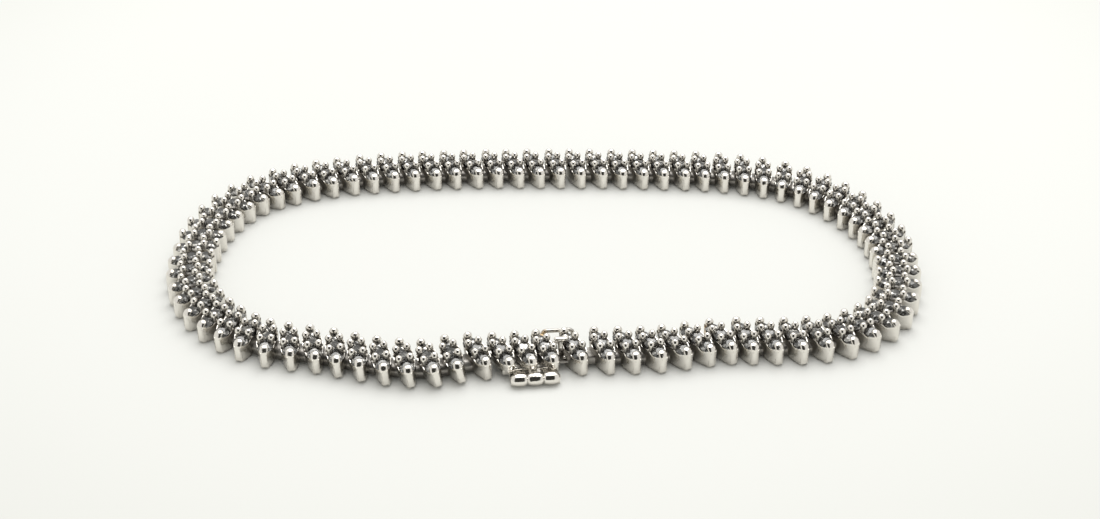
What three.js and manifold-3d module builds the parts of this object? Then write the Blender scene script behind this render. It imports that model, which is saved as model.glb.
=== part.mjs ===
// Three-stone bar-link tennis bracelet in white gold, lying closed on a table.
// Millimetres, +Z up. X runs along the bracelet's long way, the clasp is at -Y.
import * as THREE from "three";
import { mergeVertices } from "three/addons/utils/BufferGeometryUtils.js";
import Module from "manifold-3d";

const wasm = await Module();
wasm.setup();

// Driving dimensions of one setting, the boat-shaped link that lies across the run
const PITCH = 2.23;
const SETTING_LENGTH = 4.7;
const SETTING_WIDTH = 1.86;
const END_BAR_WIDTH = 0.7;
const SHOULDER_AT = 1.0;
const END_TOP = 2.43;
const END_PRONG_THICKNESS = 0.28;
const SEAT = 2.14;
const CUT_MARGIN = 1;

// Stones and the prongs between them
const STONE_RADIUS = 0.67;
const TABLE_RADIUS = 0.4;
const CROWN_HEIGHT = 0.42;
const MIDDLE_STONE_BASE = 2.1;
const OUTER_STONE_BASE = 1.98;
const OUTER_STONE_TIP = 9;
const PRONG_TOP = 2.84;
const PRONG_RADIUS = 0.33;
const PRONG_TAPER = 0.8;
const PRONG_DEPTH = 0.6;
const PRONG_SPREAD = 0.66;
const PRONG_AT = 0.72;

// Hinge bars that couple neighbouring settings, low between them
const HINGE_RADIUS = 0.27;
const HINGE_SIDES = 3;
const HINGE_HEIGHT = 0.78;
const RUNNING_GAP = 0.1;
const LUG_REACH = 0.74;
const POCKET_REACH = 0.82;

// Box clasp under three shortened settings, in its own frame: x along the run, y inwards
const BOX_LENGTH = 6.02;
const BOX_WIDTH = 3.8;
const BOX_BOTTOM = 0.46;
const BOX_TOP = 1.16;
const BOX_WALL = 0.16;
const HOLLOW_WIDTH = 2.1;
const HOLLOW_START = 1.2;
const SHORT_SETTING_BOTTOM = 0.98;
const SHORT_SETTINGS = [-2.1, 0, 1.98];
const BOX_SHIFT = -0.11;
const END_SETTING_AT = 4.66;
const TONGUE_LENGTH = 5;
const TONGUE_WIDTH = 1.7;
const TONGUE_THICKNESS = 0.2;
const TONGUE_GAP = 0.08;
const TAB_AT = 3.32;
const TAB_THICKNESS = 0.3;
const TAB_STEM_WIDTH = 0.7;
const TAB_HEAD_THICKNESS = 0.46;
const TAB_HEAD_WIDTH = 1.25;
const TAB_HEAD_BOTTOM = 2.46;

// Hinged guard that folds under the box, on a three-knuckle barrel along the outer side
const BARREL_X = 0.4;
const BARREL_Y = -2.95;
const BARREL_Z = 0.64;
const KNUCKLE_RADIUS = 0.62;
const KNUCKLE_LENGTH = 1.46;
const KNUCKLE_SIDES = 12;
const PIN_SIDES = 8;
const WEB_LENGTH = 1.17;
const WEB_DEPTH = 0.75;
const WEB_LAP = 0.1;
const WEB_RISE = 0.04;
const BARREL_LENGTH = 4.5;
const PIN_RADIUS = 0.2;
const BORE_RADIUS = 0.28;
const PIN_INSET = 0.2;
const GUARD_THICKNESS = 0.34;
const RELIEF_DEPTH = 1.7;
const TAIL_DEPTH = 0.5;
const LIP_THICKNESS = 0.24;
const LIP_RISE = 0.34;
const LIP_GAP = 0.11;
const LIP_LENGTH = 2;
const LIP_X = -0.6;

// Figure-eight wire safety on the inner side
const WIRE_RADIUS = 0.15;
const WIRE_SIDES = 6;
const CATCH_Y = 2.86;
const CATCH_START = 1.72;
const CATCH_END = 4.5;
const CATCH_LOW = 0.45;
const CATCH_HIGH = 1.87;
const HINGE_TUBE_RADIUS = 0.3;
const HINGE_TUBE_BOTTOM = 0.7;
const HINGE_TUBE_TOP = 1.6;
const HINGE_FOOT_WIDTH = 0.44;
const HINGE_FOOT_LAP = 0.2;
const WIRE_PLAY = 0.06;
const STUD_RADIUS = 0.33;
const STUD_INSET = 0.74;
const STUD_POST_THICKNESS = 0.3;
const STUD_POST_LENGTH = 0.9;

// Centre line of the loop, chosen by eye, counter-clockwise from the end of the clasp.
// Skew is how far the outer end of a setting leads the square-on position, in degrees.
// Lean is how far its top tips back along the run, in degrees.
const ROUTE = [
  { x: 2.58, y: -18.22, skew: 19, lean: 0 },
  { x: 5.6, y: -18.1, skew: 20, lean: 0 },
  { x: 9.7, y: -17.9, skew: 21, lean: 0 },
  { x: 16.2, y: -16.6, skew: 22, lean: 0 },
  { x: 23.0, y: -16.5, skew: 18, lean: 0 },
  { x: 27.8, y: -15.4, skew: 13, lean: 0 },
  { x: 31.7, y: -12.2, skew: 10, lean: 0 },
  { x: 33.5, y: -7.6, skew: 15, lean: 0 },
  { x: 34.0, y: -2.4, skew: 18, lean: 0 },
  { x: 33.1, y: 3.6, skew: 18, lean: 0 },
  { x: 30.4, y: 8.6, skew: 18, lean: 0 },
  { x: 25.9, y: 12.9, skew: 18, lean: 0 },
  { x: 19.4, y: 15.3, skew: 18, lean: 0 },
  { x: 10.0, y: 16.2, skew: 20, lean: 0 },
  { x: 0.0, y: 16.4, skew: 21, lean: 0 },
  { x: -10.0, y: 16.2, skew: 22, lean: 0 },
  { x: -19.4, y: 15.2, skew: 20, lean: 0 },
  { x: -26.2, y: 13.3, skew: 18, lean: 0 },
  { x: -30.6, y: 10.6, skew: 17, lean: 0 },
  { x: -33.6, y: 6.2, skew: 16, lean: 0 },
  { x: -35.1, y: 0.2, skew: 15, lean: 0 },
  { x: -34.9, y: -6.4, skew: 15, lean: 0 },
  { x: -32.0, y: -12.3, skew: 14, lean: 0 },
  { x: -26.8, y: -16.6, skew: 18, lean: 0 },
  { x: -20.9, y: -18.1, skew: 24, lean: 2 },
  { x: -15.1, y: -19.9, skew: 24, lean: 6 },
  { x: -11.0, y: -20.3, skew: 13, lean: 10 },
  { x: -8.9, y: -19.7, skew: 4, lean: 12 },
  { x: -6.6, y: -19.05, skew: 13, lean: 3 },
];

// Clasp position between the two ends of the route
const CLASP = { x: -2.05, y: -18.75, turn: 6.5, skew: 19 };

const whiteGold = new THREE.MeshStandardMaterial({ color: 0xd9d4cb, roughness: 0.22, metalness: 1 });
const polishedGold = new THREE.MeshStandardMaterial({ color: 0xd4cdc0, roughness: 0.3, metalness: 1 });
whiteGold.flatShading = true;
polishedGold.flatShading = true;

// A closed three.js geometry as a solid that can be joined and cut
function solidOf(geometry) {
  const bare = geometry.clone();
  bare.deleteAttribute("normal");
  bare.deleteAttribute("uv");
  const merged = mergeVertices(bare, 1e-4);
  return new wasm.Manifold(
    new wasm.Mesh({
      numProp: 3,
      vertProperties: merged.attributes.position.array,
      triVerts: new Uint32Array(merged.index.array),
    }),
  );
}

function joined(solids) {
  return solids.reduce((sum, next) => sum.add(next));
}

function placed(solid, matrix) {
  return solid.transform(matrix.elements);
}

function at(x, y, z, turn = 0) {
  return new THREE.Matrix4().makeRotationZ(THREE.MathUtils.degToRad(turn)).setPosition(x, y, z);
}

// Upright prism over an outline of [x, y] points
function prism(points, bottom, top) {
  const shape = new THREE.Shape(points.map(([x, y]) => new THREE.Vector2(x, y)));
  const geometry = new THREE.ExtrudeGeometry(shape, { depth: top - bottom, bevelEnabled: false });
  return solidOf(geometry.translate(0, 0, bottom));
}

function block(sizeX, sizeY, bottom, top, x = 0, y = 0) {
  const geometry = new THREE.BoxGeometry(sizeX, sizeY, top - bottom);
  return solidOf(geometry.translate(x, y, (bottom + top) / 2));
}

// Round bar on the barrel's axis, from and to being measured from the barrel's middle
function barrelBar(radius, from, to, sides) {
  const geometry = frustum(sides, radius, radius, to - from);
  geometry.rotateY(Math.PI / 2);
  return solidOf(geometry.translate(BARREL_X + from, BARREL_Y, BARREL_Z));
}

// Upright round bar on the axis that the wire safety turns about
function upright(radius, bottom, top, sides) {
  const geometry = frustum(sides, radius, radius, top - bottom);
  return solidOf(geometry.translate(CATCH_START, CATCH_Y, bottom));
}

// Boat outline seen from above: straight end bars, widest between the two prong pairs
function boatOutline() {
  const end = SETTING_LENGTH / 2;
  const bar = END_BAR_WIDTH / 2;
  const side = SETTING_WIDTH / 2;
  return [
    [-bar, -end],
    [bar, -end],
    [side, -SHOULDER_AT],
    [side, SHOULDER_AT],
    [bar, end],
    [-bar, end],
    [-side, SHOULDER_AT],
    [-side, -SHOULDER_AT],
  ];
}

// Side view of a setting with its standing end prongs, drawn past the ends that the boat cuts off
function sideProfile(bottom) {
  const end = SETTING_LENGTH / 2;
  const prong = end - END_PRONG_THICKNESS;
  const past = end + CUT_MARGIN;
  return [
    [-past, bottom - CUT_MARGIN],
    [past, bottom - CUT_MARGIN],
    [past, END_TOP],
    [prong, END_TOP],
    [prong, SEAT],
    [-prong, SEAT],
    [-prong, END_TOP],
    [-past, END_TOP],
  ];
}

// The solid under the side profile, as wide as the setting
function profileBlock(bottom) {
  const shape = new THREE.Shape(sideProfile(bottom).map(([y, z]) => new THREE.Vector2(y, z)));
  const width = SETTING_WIDTH + CUT_MARGIN;
  const geometry = new THREE.ExtrudeGeometry(shape, { depth: width, bevelEnabled: false });
  geometry.translate(0, 0, -width / 2);
  geometry.rotateY(Math.PI / 2);
  geometry.rotateX(Math.PI / 2);
  return solidOf(geometry);
}

// Tapered prism with a regular outline, its first flat across +X
function frustum(sides, bottomRadius, topRadius, height) {
  const corners = Array.from({ length: sides }, (_, step) => {
    const turn = ((step + 0.5) / sides) * 2 * Math.PI;
    return new THREE.Vector2(bottomRadius * Math.cos(turn), bottomRadius * Math.sin(turn));
  });
  const outline = new THREE.Shape(corners);
  const geometry = new THREE.ExtrudeGeometry(outline, { depth: height, bevelEnabled: false });
  const position = geometry.getAttribute("position");
  const taper = topRadius / bottomRadius;
  for (let i = 0; i < position.count; i += 1) {
    const scale = position.getZ(i) > height / 2 ? taper : 1;
    position.setXY(i, position.getX(i) * scale, position.getY(i) * scale);
  }
  return geometry;
}

// Round stone with an eight-sided table and eight crown facets, the outer ones tipped outwards
function stone(along) {
  const geometry = frustum(8, STONE_RADIUS, TABLE_RADIUS, CROWN_HEIGHT);
  geometry.rotateX(-Math.sign(along) * THREE.MathUtils.degToRad(OUTER_STONE_TIP));
  const seat = along === 0 ? MIDDLE_STONE_BASE : OUTER_STONE_BASE;
  return solidOf(geometry.translate(0, along, seat));
}

function pairProng(x, y) {
  const bottom = SEAT - PRONG_DEPTH;
  const geometry = frustum(3, PRONG_RADIUS, PRONG_RADIUS * PRONG_TAPER, PRONG_TOP - bottom);
  if (x < 0) geometry.rotateZ(Math.PI);
  return solidOf(geometry.translate(x, y, bottom));
}

// One cast setting with its three stones and six prongs
function setting(bottom) {
  const boat = prism(boatOutline(), bottom, PRONG_TOP).intersect(profileBlock(bottom));
  const stoneAt = (PRONG_AT + SETTING_LENGTH / 2 - END_PRONG_THICKNESS) / 2;
  const stones = [-stoneAt, 0, stoneAt].map(stone);
  const prongs = [-1, 1].flatMap((sx) => [-1, 1].map((sy) => pairProng(sx * PRONG_SPREAD, sy * PRONG_AT)));
  return joined([boat, ...stones, ...prongs]);
}

// Bar from one setting centre towards the next, reach 1 being all the way
function hingeBar(from, to, reach = 1, clearance = 0) {
  const run = new THREE.Vector2(to.x - from.x, to.y - from.y);
  const turn = THREE.MathUtils.radToDeg(run.angle());
  const radius = HINGE_RADIUS + clearance;
  const geometry = frustum(HINGE_SIDES, radius, radius, run.length() * reach);
  const bar = solidOf(geometry.rotateY(Math.PI / 2).translate(0, 0, HINGE_HEIGHT));
  return placed(bar, at(from.x, from.y, 0, turn));
}

function lug(from, to) {
  return hingeBar(from, to, LUG_REACH);
}

function lugPocket(from, to) {
  return hingeBar(from, to, POCKET_REACH, RUNNING_GAP);
}

// Places of the chain settings: even steps along the route, each with its turn about Z
function chainPlaces() {
  const points = ROUTE.map(({ x, y }) => new THREE.Vector3(x, y, 0));
  const curve = new THREE.CatmullRomCurve3(points);
  curve.arcLengthDivisions = 2000;
  const steps = Math.round(curve.getLength() / PITCH);
  return Array.from({ length: steps + 1 }, (_, step) => {
    const along = curve.getUtoTmapping(step / steps);
    const point = curve.getPoint(along);
    const heading = curve.getTangent(along);
    const row = along * (ROUTE.length - 1);
    const low = Math.min(Math.floor(row), ROUTE.length - 2);
    const skew = THREE.MathUtils.lerp(ROUTE[low].skew, ROUTE[low + 1].skew, row - low);
    const lean = THREE.MathUtils.lerp(ROUTE[low].lean, ROUTE[low + 1].lean, row - low);
    const turn = THREE.MathUtils.radToDeg(Math.atan2(heading.y, heading.x)) + skew;
    return { x: point.x, y: point.y, turn, lean };
  });
}

// Tips a setting about its hinge height, with its low edge still on the table
function tipped(lean) {
  const angle = THREE.MathUtils.degToRad(lean);
  const shift = HINGE_HEIGHT * Math.sin(angle);
  const lift = (SETTING_WIDTH / 2) * Math.abs(Math.sin(angle));
  return new THREE.Matrix4().makeRotationY(-angle).setPosition(shift, 0, lift);
}

// A stretch of the chain with its stones, one soldered and coupled body
function chainStretch(places, link) {
  const links = places.map(({ x, y, turn, lean }) => placed(link, at(x, y, 0, turn).multiply(tipped(lean))));
  const bars = places.slice(1).map((place, index) => hingeBar(places[index], place));
  return joined([...links, ...bars]);
}

// From the clasp's frame to the bracelet's
function claspFrame() {
  return at(CLASP.x, CLASP.y, 0, CLASP.turn);
}

function claspPoint(x, y) {
  const point = new THREE.Vector3(x, y, 0).applyMatrix4(claspFrame());
  return { x: point.x, y: point.y };
}

// Plan of the box: its ends run alongside the skewed settings
function skewedOutline(length, width, shift) {
  const lean = Math.tan(THREE.MathUtils.degToRad(CLASP.skew));
  const corner = (endwise, y) => [shift + (endwise * length) / 2 - y * lean, y];
  const half = width / 2;
  return [corner(-1, -half), corner(1, -half), corner(1, half), corner(-1, half)];
}

// Hollow box with its mouth towards +x, three shortened settings on it and the middle knuckle
function claspBox() {
  const shell = prism(skewedOutline(BOX_LENGTH, BOX_WIDTH, BOX_SHIFT), BOX_BOTTOM, BOX_TOP);
  const hollowOutline = skewedOutline(BOX_LENGTH, HOLLOW_WIDTH, BOX_SHIFT + HOLLOW_START);
  const hollow = prism(hollowOutline, BOX_BOTTOM + BOX_WALL, BOX_TOP - BOX_WALL);
  const crowns = SHORT_SETTINGS.map((x) => placed(setting(SHORT_SETTING_BOTTOM), at(x, 0, 0, CLASP.skew)));
  const knuckle = barrelBar(KNUCKLE_RADIUS, -KNUCKLE_LENGTH / 2, KNUCKLE_LENGTH / 2, KNUCKLE_SIDES);
  const bore = barrelBar(BORE_RADIUS, -KNUCKLE_LENGTH, KNUCKLE_LENGTH, PIN_SIDES);
  const webTop = BOX_TOP - WEB_LAP;
  const webAt = WEB_LAP - (BOX_WIDTH + WEB_DEPTH) / 2;
  const web = block(WEB_LENGTH, WEB_DEPTH, BOX_BOTTOM + WEB_RISE, webTop, BARREL_X, webAt);
  const footDepth = CATCH_Y - BOX_WIDTH / 2 + HINGE_FOOT_LAP;
  const footAt = CATCH_Y - footDepth / 2;
  const tubeFoot = block(HINGE_FOOT_WIDTH, footDepth, HINGE_TUBE_BOTTOM, webTop, CATCH_START, footAt);
  const tube = upright(HINGE_TUBE_RADIUS, HINGE_TUBE_BOTTOM, HINGE_TUBE_TOP, 10);
  const tubeBore = upright(WIRE_RADIUS + WIRE_PLAY, 0, PRONG_TOP, 8);
  const body = joined([shell, web, knuckle, ...crowns]).subtract(hollow).subtract(bore);
  const withTube = joined([body, tubeFoot, tube]).subtract(tubeBore);
  return placed(withTube, claspFrame());
}

// Full-height end setting with the tongue, the thumb tab that stands on it and the catch's stud
function claspTongue() {
  const end = placed(setting(0), at(END_SETTING_AT, 0, 0, CLASP.skew));
  const bottom = BOX_BOTTOM + BOX_WALL + TONGUE_GAP;
  const tongueMiddle = END_SETTING_AT - TONGUE_LENGTH / 2;
  const tongue = block(TONGUE_LENGTH, TONGUE_WIDTH, bottom, bottom + TONGUE_THICKNESS, tongueMiddle);
  const stem = block(TAB_THICKNESS, TAB_STEM_WIDTH, bottom, TAB_HEAD_BOTTOM);
  const head = block(TAB_HEAD_THICKNESS, TAB_HEAD_WIDTH, TAB_HEAD_BOTTOM, PRONG_TOP);
  const tab = placed(stem.add(head), at(TAB_AT, 0, 0, CLASP.skew));
  const studX = END_SETTING_AT - STUD_INSET;
  const studZ = (CATCH_LOW + CATCH_HIGH) / 2;
  const ball = solidOf(new THREE.SphereGeometry(STUD_RADIUS, 8, 6).translate(studX, CATCH_Y, studZ));
  const postBottom = studZ - STUD_POST_THICKNESS / 2;
  const postTop = studZ + STUD_POST_THICKNESS / 2;
  const postAt = CATCH_Y - STUD_POST_LENGTH / 2;
  const post = block(STUD_POST_THICKNESS, STUD_POST_LENGTH, postBottom, postTop, studX, postAt);
  return placed(joined([end, tongue, tab, ball, post]), claspFrame());
}

// Guard plate with the two outer knuckles, their pin and a lip that snaps over the box's inner edge
function safetyGuard() {
  const half = BARREL_LENGTH / 2;
  const reach = BOX_WIDTH / 2;
  const middleGap = KNUCKLE_LENGTH / 2 + RUNNING_GAP;
  const depth = reach - BARREL_Y;
  const plate = block(BARREL_LENGTH, depth, 0, GUARD_THICKNESS, BARREL_X, reach - depth / 2);
  const relief = block(2 * middleGap, RELIEF_DEPTH, -CUT_MARGIN, CUT_MARGIN, BARREL_X, BARREL_Y);
  const knuckles = [
    barrelBar(KNUCKLE_RADIUS, -half, -middleGap, KNUCKLE_SIDES),
    barrelBar(KNUCKLE_RADIUS, middleGap, half, KNUCKLE_SIDES),
  ];
  const pin = barrelBar(PIN_RADIUS, PIN_INSET - half, half - PIN_INSET, PIN_SIDES);
  const lipEdge = reach + LIP_GAP + LIP_THICKNESS;
  const tail = block(LIP_LENGTH, TAIL_DEPTH, 0, GUARD_THICKNESS, LIP_X, lipEdge - TAIL_DEPTH / 2);
  const lipAt = lipEdge - LIP_THICKNESS / 2;
  const lip = block(LIP_LENGTH, LIP_THICKNESS, 0, GUARD_THICKNESS + LIP_RISE, LIP_X, lipAt);
  return placed(joined([plate.subtract(relief), ...knuckles, pin, tail, lip]), claspFrame());
}

// Closed wire through corner points of an upright plane, given as [x, z]
function wireLoop(corners, y) {
  const rings = corners.length;
  const geometry = new THREE.TorusGeometry(1, WIRE_RADIUS, WIRE_SIDES, rings);
  const position = geometry.getAttribute("position");
  for (let i = 0; i < position.count; i += 1) {
    const ring = (i % (rings + 1)) % rings;
    const before = corners[(ring + rings - 1) % rings];
    const after = corners[(ring + 1) % rings];
    const outward = new THREE.Vector2(after[1] - before[1], before[0] - after[0]).normalize();
    const around = (Math.floor(i / (rings + 1)) / WIRE_SIDES) * 2 * Math.PI;
    const offset = outward.multiplyScalar(WIRE_RADIUS * Math.cos(around));
    const [x, z] = corners[ring];
    position.setXYZ(i, x + offset.x, y - WIRE_RADIUS * Math.sin(around), z + offset.y);
  }
  return solidOf(geometry);
}

// Figure-eight loop standing on edge against the inner side
function safetyWire() {
  const middle = (CATCH_LOW + CATCH_HIGH) / 2;
  const rise = (CATCH_HIGH - CATCH_LOW) / 2;
  const waistX = CATCH_START + 0.42 * (CATCH_END - CATCH_START);
  const upper = [
    [CATCH_END, 0],
    [CATCH_END - 0.08, 0.6],
    [CATCH_END - 0.4, 1],
    [CATCH_END - 0.9, 1],
    [waistX, 0.76],
    [CATCH_START + 0.3, 1],
    [CATCH_START + 0.02, 0.9],
    [CATCH_START, 0.7],
  ];
  const lower = upper.slice(1).reverse().map(([x, z]) => [x, -z]);
  const corners = [...upper, ...lower].map(([x, z]) => [x, middle + z * rise]);
  return placed(wireLoop(corners, CATCH_Y), claspFrame());
}

function meshOf(name, solid, material) {
  const { vertProperties, triVerts, numProp } = solid.getMesh();
  const geometry = new THREE.BufferGeometry();
  geometry.setAttribute("position", new THREE.BufferAttribute(new Float32Array(vertProperties), numProp));
  geometry.setIndex(new THREE.BufferAttribute(new Uint32Array(triVerts), 1));
  geometry.computeVertexNormals();
  const mesh = new THREE.Mesh(geometry, material);
  mesh.name = name;
  return mesh;
}

const places = chainPlaces();
const link = setting(0);
const farSide = Math.floor(places.length / 2);
const right = places.slice(1, farSide);
const left = places.slice(farSide);
const boxStart = claspPoint(SHORT_SETTINGS[0], 0);
const tongueEnd = claspPoint(END_SETTING_AT, 0);

const rightHalf = chainStretch(right, link)
  .subtract(lugPocket(tongueEnd, right[0]))
  .add(lug(right.at(-1), left[0]));
const leftHalf = chainStretch(left, link)
  .subtract(lugPocket(right.at(-1), left[0]))
  .add(lug(left.at(-1), boxStart));

const group = new THREE.Group();
group.add(meshOf("chain_right_half", rightHalf, whiteGold));
group.add(meshOf("chain_left_half", leftHalf, whiteGold));
group.add(meshOf("clasp_box", claspBox().subtract(lugPocket(left.at(-1), boxStart)), whiteGold));
group.add(meshOf("clasp_tongue", claspTongue().add(lug(tongueEnd, right[0])), whiteGold));
group.add(meshOf("safety_guard", safetyGuard(), polishedGold));
group.add(meshOf("safety_wire", safetyWire(), polishedGold));

// The frame's origin is the middle of the footprint, on the table
const box = new THREE.Box3().setFromObject(group);
const centre = box.getCenter(new THREE.Vector3());
group.children.forEach((mesh) => mesh.geometry.translate(-centre.x, -centre.y, -box.min.z));

export default group;
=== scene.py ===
"""A three-stone-wide tennis bracelet in white gold, closed and lying on a pale table.

The run of cast settings comes first, then its stones, the box clasp with its tongue, guard and
wire catch, and last the table, the light and the camera. Lengths are in metres.
"""

import math

import bpy
import numpy as np
from mathutils import Matrix, Vector


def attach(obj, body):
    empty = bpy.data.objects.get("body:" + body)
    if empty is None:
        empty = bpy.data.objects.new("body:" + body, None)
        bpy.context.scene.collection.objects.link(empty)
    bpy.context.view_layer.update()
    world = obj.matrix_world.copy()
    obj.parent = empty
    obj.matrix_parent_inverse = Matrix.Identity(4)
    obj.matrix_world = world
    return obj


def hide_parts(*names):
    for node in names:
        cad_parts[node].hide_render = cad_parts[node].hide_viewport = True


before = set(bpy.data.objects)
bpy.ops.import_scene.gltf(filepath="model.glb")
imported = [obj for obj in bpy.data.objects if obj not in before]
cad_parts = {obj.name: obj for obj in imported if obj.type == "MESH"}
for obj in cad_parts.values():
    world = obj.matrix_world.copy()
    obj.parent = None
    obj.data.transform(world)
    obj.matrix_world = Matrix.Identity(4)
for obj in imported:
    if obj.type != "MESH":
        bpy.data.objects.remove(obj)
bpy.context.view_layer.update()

# Run of settings
# Each link is one lost-wax casting in 18 ct white gold: a boat-shaped trough that lies across the
# band, with a flat prong folded over at each end and four bead prongs between its three stones.
# The castings are polished, rhodium plated and coupled low down by short hinge bars.

MM = 0.001

# The trough, and the spacing of its three stones
SETTING_LENGTH = 4.7 * MM
SETTING_WIDTH = 1.88 * MM
END_WIDTH = 0.6 * MM
END_CORNER = 0.3 * MM
END_CLEARANCE = 0.03 * MM
RIM_HEIGHT = 1.94 * MM
RIM_FALL = 0.2 * MM
WALL = 0.2 * MM
SCALLOP = 0.12 * MM
FOOT_TAPER = 0.84
STONE_PITCH = 1.46 * MM

# The four bead prongs between the stones
PRONG_SPREAD = 0.51 * MM
PRONG_AT = 0.73 * MM
BEAD_RADIUS = 0.345 * MM
BEAD_HEIGHT = 2.5 * MM
STEM_FOOT = 1.3 * MM

# The folded prong at each end, the inner one with a round head of its own
OUTER_END_TOP = 2.36 * MM
OUTER_CROWN = 0.24 * MM
INNER_END_TOP = 2.4 * MM
INNER_CROWN = 0.15 * MM
INNER_HEAD_HEIGHT = 2.27 * MM
INNER_HEAD_RADIUS = 0.365 * MM
INNER_HEAD_STRETCH = 1.22
HOOK_RADIUS = 0.6 * MM
KEEL_RADIUS = 0.34 * MM

# Rise of the bead tops for each millimetre inwards
TOP_SLOPE = 0.06

# The hinge bars between the settings
HINGE_HEIGHT = 0.78 * MM
HINGE_HALF_HEIGHT = 0.48 * MM
HINGE_HALF_WIDTH = 0.8 * MM

# Steps along the route, the one where the left half starts, and the ones that are turned half round
CHAIN_STEPS = 76
LEFT_HALF_FIRST = 38
TURNED_FIRST = 19
TURNED_LAST = 57

# How far a setting strays from its place, as hand work does
WOBBLE = math.radians(2.2)
SEED = 11

# The tops slope fully at the near and the far side, and less between them
NEAR_SIDE_Y = -14 * MM
FAR_SIDE_Y = 16 * MM

# Where the plating is worn down to the yellower gold: inside one setting, and at the catch's hinge
WORN_SETTING = Vector((15.15, -13.1, 1.25)) * MM
WORN_CATCH = Vector((-0.1, -13.72, 1.85)) * MM

# Middle of the loop's footprint, in the plan that the route and the clasp are set out on
PLAN_CENTRE = Vector((-0.6442, -1.9971, 0)) * MM

# Centre line of the run in millimetres, counter-clockwise from the clasp, with the lead in degrees
# of each setting's outer end over its square-on place, and the lean of its top back along the run
ROUTE = [
    (2.58, -18.22, 19, 0),
    (5.6, -18.1, 20, 0),
    (9.7, -17.9, 21, 0),
    (16.2, -16.6, 22, 0),
    (23.0, -16.5, 18, 0),
    (27.8, -15.4, 13, 0),
    (31.7, -12.2, 10, 0),
    (33.5, -7.6, 15, 0),
    (34.0, -2.4, 18, 0),
    (33.1, 3.6, 18, 0),
    (30.4, 8.6, 18, 0),
    (25.9, 12.9, 18, 0),
    (19.4, 15.3, 18, 0),
    (10.0, 16.2, 20, 0),
    (0.0, 16.4, 21, 0),
    (-10.0, 16.2, 22, 0),
    (-19.4, 15.2, 20, 0),
    (-26.2, 13.3, 18, 0),
    (-30.6, 10.6, 17, 0),
    (-33.6, 6.2, 16, 0),
    (-35.1, 0.2, 15, 0),
    (-34.9, -6.4, 15, 0),
    (-32.0, -12.3, 14, 0),
    (-26.8, -16.6, 18, 0),
    (-20.9, -18.1, 24, 2),
    (-15.1, -19.9, 24, 6),
    (-11.0, -20.3, 13, 10),
    (-8.9, -19.7, 4, 12),
    (-6.6, -19.05, 13, 3),
]


class Wire:
    """A socket that takes part in sums: each sum adds its Math node."""

    def __init__(self, graph, socket):
        self.graph = graph
        self.socket = socket

    def sum(self, operation, *values):
        node = self.graph.add("ShaderNodeMath", {"operation": operation}, dict(enumerate(values)))
        return Wire(self.graph, node.outputs[0])

    def __add__(self, other):
        return self.sum("ADD", self, other)

    def __radd__(self, other):
        return self.sum("ADD", other, self)

    def __sub__(self, other):
        return self.sum("SUBTRACT", self, other)

    def __rsub__(self, other):
        return self.sum("SUBTRACT", other, self)

    def __mul__(self, other):
        return self.sum("MULTIPLY", self, other)

    def __rmul__(self, other):
        return self.sum("MULTIPLY", other, self)

    def between(self, low, high):
        node = self.graph.add(
            "ShaderNodeMapRange",
            {"interpolation_type": "SMOOTHSTEP"},
            {"Value": self, "From Min": low, "From Max": high},
        )
        return Wire(self.graph, node.outputs["Result"])


class Graph:
    """A shader or geometry node tree that is filled from Python."""

    def __init__(self, tree):
        self.tree = tree

    def add(self, kind, settings=None, sockets=None):
        node = self.tree.nodes.new(kind)
        for name, value in (settings or {}).items():
            setattr(node, name, value)
        for key, value in (sockets or {}).items():
            self.plug(node.inputs[key], value)
        return node

    def plug(self, socket, value):
        if isinstance(value, Wire):
            self.tree.links.new(value.socket, socket)
        elif isinstance(value, bpy.types.NodeSocket):
            self.tree.links.new(value, socket)
        else:
            socket.default_value = value


def new_material(name):
    material = bpy.data.materials.new(name)
    material.use_nodes = True
    material.node_tree.nodes.clear()
    return material, Graph(material.node_tree)


def place_on_piece(graph):
    return graph.add("ShaderNodeTexCoord").outputs["Object"]


def noise_at(graph, where, scale, detail=2.0):
    node = graph.add("ShaderNodeTexNoise", None, {"Vector": where, "Scale": scale, "Detail": detail})
    return Wire(graph, node.outputs["Fac"])


def mixed(graph, amount, first, second):
    node = graph.add("ShaderNodeMix", {"data_type": "RGBA"}, {0: amount, 6: first, 7: second})
    return node.outputs[2]


def white_gold(name, roughness, shade_strength, ripple):
    """Polished white gold, painted darker as shade where the mesh marks it, by the third argument.

    Ripple is the strength of the fine unevenness. Noise scales are in cells to the metre.
    """
    material, graph = new_material(name)
    where = place_on_piece(graph)
    marks = noise_at(graph, where, 3600, 1)
    cloud = noise_at(graph, where, 420)
    recess = Wire(graph, graph.add("ShaderNodeAttribute", {"attribute_name": "recess"}).outputs["Fac"])
    tone = mixed(graph, cloud, (0.75, 0.72, 0.665, 1), (0.85, 0.82, 0.765, 1))
    for worn_at, reach in ((WORN_SETTING, 1.2 * MM), (WORN_CATCH, 0.6 * MM)):
        offset = graph.add("ShaderNodeVectorMath", {"operation": "DISTANCE"}, {0: where, 1: worn_at})
        worn = 1 - Wire(graph, offset.outputs["Value"]).between(reach * 0.4, reach)
        tone = mixed(graph, worn * 0.85, tone, (0.86, 0.60, 0.30, 1))
    # Painted shade: the colour goes towards dark grey where the mesh marks shade, in the hollows and between
    # the parts
    tone = mixed(graph, recess * shade_strength, tone, (0.3, 0.285, 0.262, 1))
    bump = graph.add("ShaderNodeBump", None, {"Height": marks, "Strength": ripple, "Distance": 0.045 * MM})
    surface = graph.add(
        "ShaderNodeBsdfPrincipled",
        None,
        {
            "Base Color": tone,
            "Metallic": 1.0,
            "Roughness": roughness + 0.08 * cloud + 0.25 * recess,
            "Normal": bump.outputs["Normal"],
        },
    )
    graph.add("ShaderNodeOutputMaterial", None, {"Surface": surface.outputs["BSDF"]})
    return material


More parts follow.
